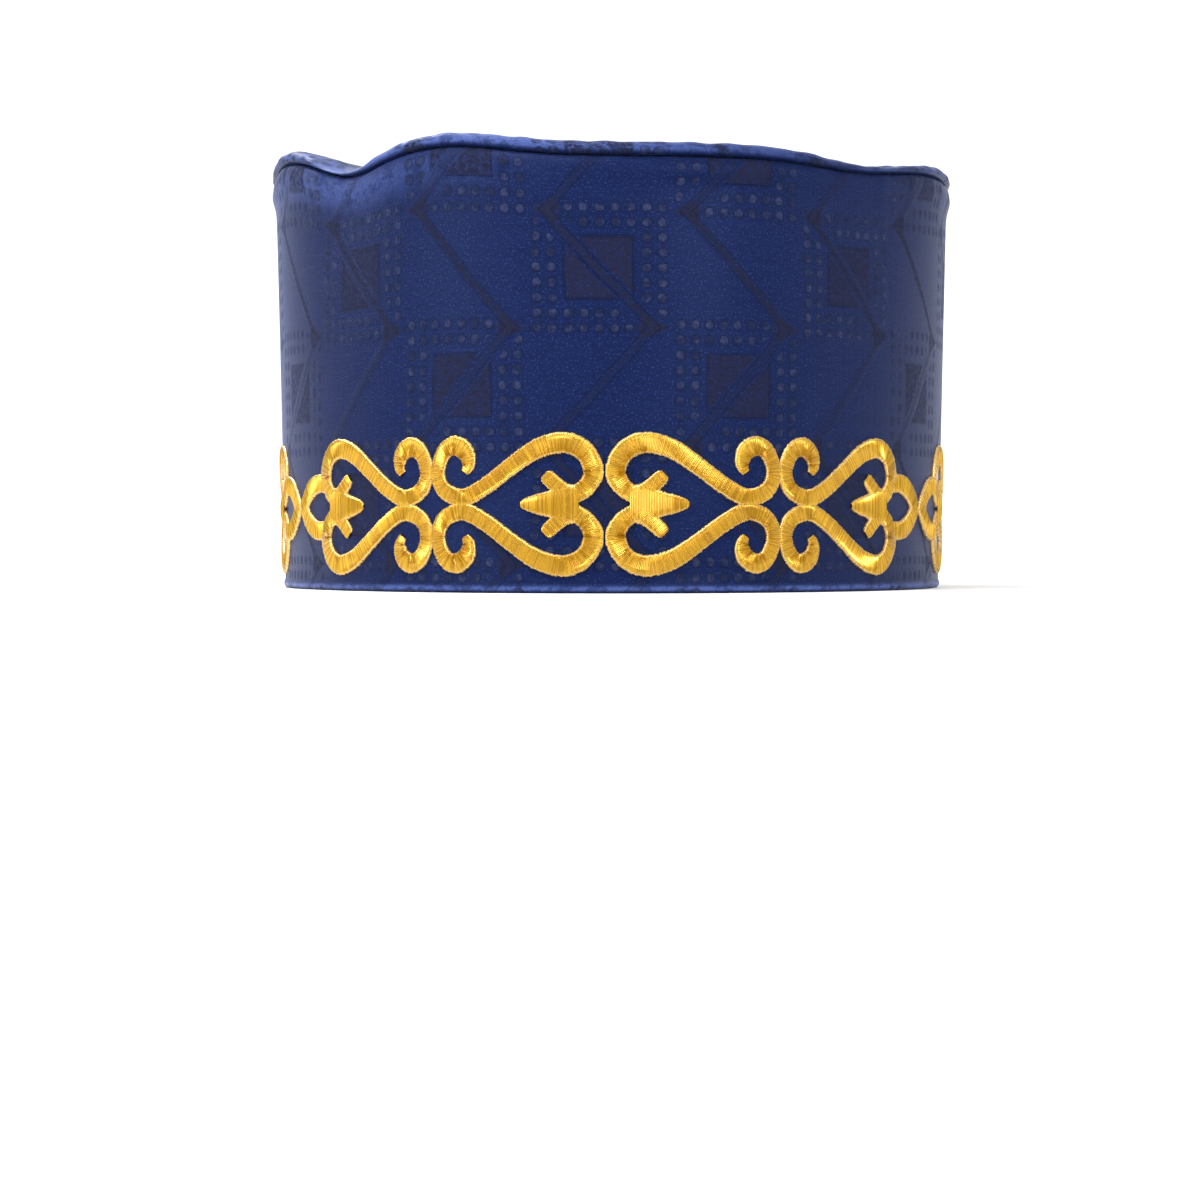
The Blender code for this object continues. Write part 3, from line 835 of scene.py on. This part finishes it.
def figure_group():
    """The woven figure: zigzag lines, and squares of two triangles framed by rings of dots.

    The chart is in mm. The squares sit on every second slope of a zigzag, and every second
    zigzag has them on its other slope.
    """
    shapes = ("Line", "Knot", "Triangle", "Dot", "Relief", "Edge Shade")
    tree, start, end = new_group(
        "woven figure",
        [("Chart", "NodeSocketVector", None), ("Step", "NodeSocketFloat", 0.45)],
        [(shape, "NodeSocketFloat") for shape in shapes],
    )
    split = add_node(tree, "ShaderNodeSeparateXYZ", None, {0: start.outputs["Chart"]})
    step = start.outputs["Step"]
    wobble = noise(tree, start.outputs["Chart"], 0.05, 1.0)
    sway = times(tree, minus(tree, wobble, 0.5), FIGURE_SWAY)
    across = plus(tree, calc(tree, "SNAP", split.outputs[0], step), sway)
    up = calc(tree, "SNAP", split.outputs[1], step)

    from_knot = minus(tree, KNOT_HEIGHT, up)
    turn = calc(tree, "FRACT", calc(tree, "DIVIDE", from_knot, ZIGZAG_PERIOD))
    swing = outside_of(tree, size_of(tree, minus(tree, times(tree, turn, 2.0), 1.0)))
    offset = minus(tree, across, times(tree, swing, ZIGZAG_SWING))
    beside = wrapped(tree, plus(tree, offset, ZIGZAG_SHIFT), ZIGZAG_APART)
    from_line = times(tree, size_of(tree, beside), LINE_SLANT)
    falling = below(tree, turn, 0.5, 0.02)
    line = times(tree, below(tree, from_line, LINE_HALF, 0.2), from_to(tree, 0.5, 0.5, falling))
    above_knot = size_of(tree, wrapped(tree, minus(tree, up, KNOT_HEIGHT), ZIGZAG_PERIOD / 2))
    knot = below(tree, plus(tree, above_knot, times(tree, from_line, 1.1)), KNOT_HALF, 0.25)

    squares = []
    for shift, middle in (
        (SQUARE_SHIFT, SQUARE_MIDDLE),
        (SQUARE_SHIFT - ZIGZAG_APART, SQUARE_MIDDLE - ZIGZAG_PERIOD / 2),
    ):
        far_across = wrapped(tree, plus(tree, across, shift), 2 * ZIGZAG_APART)
        far_up = wrapped(tree, minus(tree, up, middle), ZIGZAG_PERIOD)
        squares.append(square_with_dots(tree, far_across, far_up, from_line))
    triangle, dot, raised, edge = (larger(tree, *pair) for pair in zip(*squares))

    line_ridge = times(tree, below(tree, from_line, 1.1, 0.7), 0.9)
    raised = larger(tree, larger(tree, raised, line_ridge), knot)
    # Painted shade also along the edges of the lines.
    edge = larger(tree, edge, near_to(tree, from_line, 1.05, 0.2))
    for shape, value in zip(shapes, (line, knot, triangle, dot, raised, edge)):
        put(tree, end.inputs[shape], value)
    return tree


def weave_group():
    """Fine threads of a cloth: a height for bump and a tone that varies thread by thread."""
    tree, start, end = new_group(
        "woven threads",
        [
            ("Chart", "NodeSocketVector", None),
            ("Thread Width", "NodeSocketFloat", 0.45),
            ("Float Length", "NodeSocketFloat", 2.2),
        ],
        [("Height", "NodeSocketFloat"), ("Tone", "NodeSocketFloat")],
    )
    bricks = add_node(
        tree,
        "ShaderNodeTexBrick",
        {"offset": 0.37, "offset_frequency": 2, "squash": 1.0},
        {
            "Vector": start.outputs["Chart"],
            "Color1": (0.35, 0.35, 0.35, 1),
            "Color2": (0.75, 0.75, 0.75, 1),
            "Mortar": (0.0, 0.0, 0.0, 1),
            "Scale": 1.0,
            "Mortar Size": 0.06,
            "Mortar Smooth": 1.0,
            "Bias": 0.0,
            "Brick Width": start.outputs["Float Length"],
            "Row Height": start.outputs["Thread Width"],
        },
    )
    long_way = add_node(
        tree,
        "ShaderNodeMapping",
        None,
        {"Vector": start.outputs["Chart"], "Scale": (0.06, 1.2, 1.0)},
    )
    slub = noise(tree, long_way.outputs[0], 0.9, 3.0)
    tone = plus(tree, times(tree, bricks.outputs["Color"], 0.5), times(tree, slub, 0.5))
    put(tree, end.inputs["Height"], outside_of(tree, bricks.outputs["Fac"]))
    put(tree, end.inputs["Tone"], tone)
    return tree


def new_material(name):
    material = bpy.data.materials.new(name)
    material.use_nodes = True
    tree = material.node_tree
    return material, tree, tree.nodes["Principled BSDF"]


def placed(tree, group, inputs):
    return add_node(tree, "ShaderNodeGroup", {"node_tree": group}, inputs)


def satin_material(figure, weave):
    """Dark blue satin: a shiny ground with the matt figure woven into it."""
    material, tree, shader = new_material("patterned satin")
    cloth = add_node(tree, "ShaderNodeUVMap", {"uv_map": "cloth"}).outputs[0]
    shapes = placed(tree, figure, {"Chart": cloth, "Step": 0.4}).outputs
    threads = placed(
        tree, weave, {"Chart": cloth, "Thread Width": 0.42, "Float Length": 2.4}
    ).outputs
    broad = noise(tree, cloth, 0.035, 2.0)
    speck = noise(tree, cloth, 0.85, 3.0, 0.7)
    worn = below(tree, speck, 0.52, 0.12)
    dull = below(tree, speck, 0.45, 0.2)
    # Painted glints: small pale blue dashes over the ground.
    painted_glint = outside_of(tree, below(tree, noise(tree, cloth, 2.1, 1.0), 0.64, 0.07))

    ground = blend(tree, threads["Tone"], SATIN_LOW, SATIN_HIGH)
    ground = blend(tree, times(tree, broad, 0.45), ground, SATIN_BROAD)
    ground = blend(tree, times(tree, dull, 0.45), ground, SATIN_DULL)
    ground = blend(tree, times(tree, painted_glint, 0.42), ground, SATIN_PAINTED_GLINT)
    # Painted highlight along the folds, broken into streaks by the speckle and the patches.
    patch = below(tree, noise(tree, cloth, 0.22, 4.0, 0.7), 0.53, 0.04)
    streak = plus(tree, 0.25, times(tree, speck, plus(tree, 0.3, patch)))
    fold = times(tree, vertex_value(tree, "painted_fold_highlight"), streak)
    ground = blend(tree, fold, ground, SATIN_PAINTED_HIGHLIGHT)

    matt = blend(tree, speck, MATT_LOW, MATT_HIGH)
    dark = larger(tree, shapes["Triangle"], shapes["Knot"])
    dark = times(tree, dark, from_to(tree, 0.34, 0.58, worn))
    colour = blend(tree, dark, ground, matt)
    dots = times(tree, shapes["Dot"], from_to(tree, 0.40, 0.45, worn))
    uneven = outside_of(tree, below(tree, noise(tree, cloth, 0.3, 3.0, 0.7), 0.52, 0.12))
    colour = blend(tree, dots, colour, blend(tree, uneven, DOT_LOW, DOT_HIGH))
    lines = times(tree, shapes["Line"], from_to(tree, 0.36, 0.48, worn))
    colour = blend(tree, lines, colour, LINE_COLOUR)
    # Painted shade along the edges of the raised figure.
    colour = blend(tree, times(tree, shapes["Edge Shade"], 0.5), colour, EDGE_PAINTED_SHADE)
    put(tree, shader.inputs["Base Color"], colour)

    figured = larger(tree, larger(tree, dark, lines), times(tree, shapes["Dot"], 0.7))
    rough = from_to(tree, from_to(tree, 0.34, 0.30, figured), 0.10, threads["Tone"])
    put(tree, shader.inputs["Roughness"], rough)
    lift = plus(tree, times(tree, threads["Height"], 0.35), times(tree, shapes["Relief"], 2.8))
    lift = plus(tree, lift, times(tree, speck, 0.8))
    raised = add_node(
        tree, "ShaderNodeBump", None, {"Strength": 0.7, "Distance": 0.00012, "Height": lift}
    )
    put(tree, shader.inputs["Normal"], raised.outputs[0])
    shader.inputs["Sheen Weight"].default_value = 0.14
    shader.inputs["Sheen Roughness"].default_value = 0.30
    shader.inputs["Sheen Tint"].default_value = (0.28, 0.42, 1.0, 1)
    shader.inputs["Specular IOR Level"].default_value = 0.11
    shader.inputs["Specular Tint"].default_value = (0.40, 0.55, 1.0, 1)
    return material


def lining_material(weave):
    """Plain black-blue lining cloth."""
    material, tree, shader = new_material("dark lining")
    cloth = add_node(tree, "ShaderNodeUVMap", {"uv_map": "cloth"}).outputs[0]
    threads = placed(
        tree, weave, {"Chart": cloth, "Thread Width": 0.5, "Float Length": 0.5}
    ).outputs
    colour = blend(tree, threads["Tone"], LINING_LOW, LINING_HIGH)
    put(tree, shader.inputs["Base Color"], colour)
    put(tree, shader.inputs["Roughness"], from_to(tree, 0.62, 0.2, threads["Tone"]))
    raised = add_node(
        tree,
        "ShaderNodeBump",
        None,
        {"Strength": 0.5, "Distance": 0.00008, "Height": threads["Height"]},
    )
    put(tree, shader.inputs["Normal"], raised.outputs[0])
    return material


def gold_material():
    """Glossy golden embroidery thread, with painted shade between the stitches and a painted
    highlight at their ends, along the edges of the strokes.
    """
    material, tree, shader = new_material("gold thread")
    tone = vertex_value(tree, "stitch_tone")
    # Painted shade on the low sides of each thread, between the stitches.
    valley_shade = below(tree, vertex_value(tree, "stitch_top"), 0.50, 0.28)
    # Painted highlight at the ends of the stitches, where the thread bends down over the stroke's
    # edge.
    pale = outside_of(tree, below(tree, vertex_value(tree, "stitch_edge"), 0.84, 0.1))
    colour = blend(tree, tone, GOLD_LOW, GOLD_HIGH)
    colour = blend(tree, times(tree, valley_shade, 0.95), colour, GOLD_PAINTED_SHADE)
    colour = blend(tree, times(tree, pale, 0.5), colour, GOLD_PAINTED_HIGHLIGHT)
    put(tree, shader.inputs["Base Color"], colour)
    put(tree, shader.inputs["Roughness"], from_to(tree, 0.22, 0.12, tone))
    shader.inputs["Metallic"].default_value = 0.62
    shader.inputs["Specular IOR Level"].default_value = 0.35
    shader.inputs["Coat Weight"].default_value = 0.38
    shader.inputs["Coat Roughness"].default_value = 0.22
    return material


def sewing_material():
    """Dark blue sewing thread."""
    material, tree, shader = new_material("sewing thread")
    place = add_node(tree, "ShaderNodeTexCoord").outputs["Object"]
    fuzz = noise(tree, place, 900.0, 2.0)
    put(tree, shader.inputs["Base Color"], blend(tree, fuzz, SEWING_LOW, SEWING_HIGH))
    put(tree, shader.inputs["Roughness"], from_to(tree, 0.4, 0.2, fuzz))
    return material


# Studio

def studio():
    """Pale floor that curves up on all sides, soft boxes, and the camera."""
    select_none()
    bpy.ops.mesh.primitive_plane_add(size=FLOOR_SIZE, location=(0, 0, 0))
    floor = bpy.context.object
    floor.name = "floor"
    bpy.ops.object.mode_set(mode="EDIT")
    bpy.ops.mesh.select_mode(type="EDGE")
    bpy.ops.mesh.select_all(action="SELECT")
    bpy.ops.mesh.extrude_edges_move(TRANSFORM_OT_translate={"value": (0, 0, FLOOR_WALL)})
    bpy.ops.transform.resize(value=(1.07, 1.07, 1.0))
    bpy.ops.object.mode_set(mode="OBJECT")
    curve = floor.modifiers.new("curve", "BEVEL")
    curve.width = FLOOR_CURVE
    curve.segments = 12
    bpy.ops.object.modifier_apply(modifier=curve.name)
    bpy.ops.object.shade_smooth()
    pale, tree, shader = new_material("pale paper")
    place = add_node(tree, "ShaderNodeTexCoord").outputs["Object"]
    grain = noise(tree, place, 60.0, 4.0)
    put(tree, shader.inputs["Base Color"], blend(tree, grain, PAPER_LOW, PAPER_HIGH))
    shader.inputs["Roughness"].default_value = 0.75
    floor.data.materials.append(pale)

    world = bpy.data.worlds.new("studio")
    bpy.context.scene.world = world
    world.use_nodes = True
    sky = world.node_tree.nodes["Background"]
    sky.inputs["Color"].default_value = (1, 1, 1, 1)
    sky.inputs["Strength"].default_value = WORLD_STRENGTH

    for name, place, target, size, power in SOFT_BOXES:
        light = bpy.data.lights.new(name, "AREA")
        light.shape = "SQUARE"
        light.size = size
        light.energy = power
        lamp = bpy.data.objects.new(name, light)
        bpy.context.scene.collection.objects.link(lamp)
        lamp.location = place
        aim = Vector(target) - Vector(place)
        lamp.rotation_euler = aim.to_track_quat("-Z", "Y").to_euler()

    lens = bpy.data.cameras.new("camera")
    lens.sensor_width = CAMERA_SENSOR
    lens.lens = CAMERA_LENS
    lens.clip_start = 0.01
    camera = bpy.data.objects.new("camera", lens)
    bpy.context.scene.collection.objects.link(camera)
    camera.location = CAMERA_PLACE
    camera.rotation_euler = (math.radians(90.0 - CAMERA_DOWN_DEG), 0, 0)
    bpy.context.scene.camera = camera
    bpy.context.scene.view_settings.view_transform = "Standard"
    bpy.context.scene.view_settings.look = "None"


woven_figure = figure_group()
woven_threads = weave_group()
satin = satin_material(woven_figure, woven_threads)
lining_cloth = lining_material(woven_threads)
gold = gold_material()
sewing_thread = sewing_material()

wall_cloth()
crown_cloth()
inner_lining()
all_scrolls()
hem_stitches()
studio()
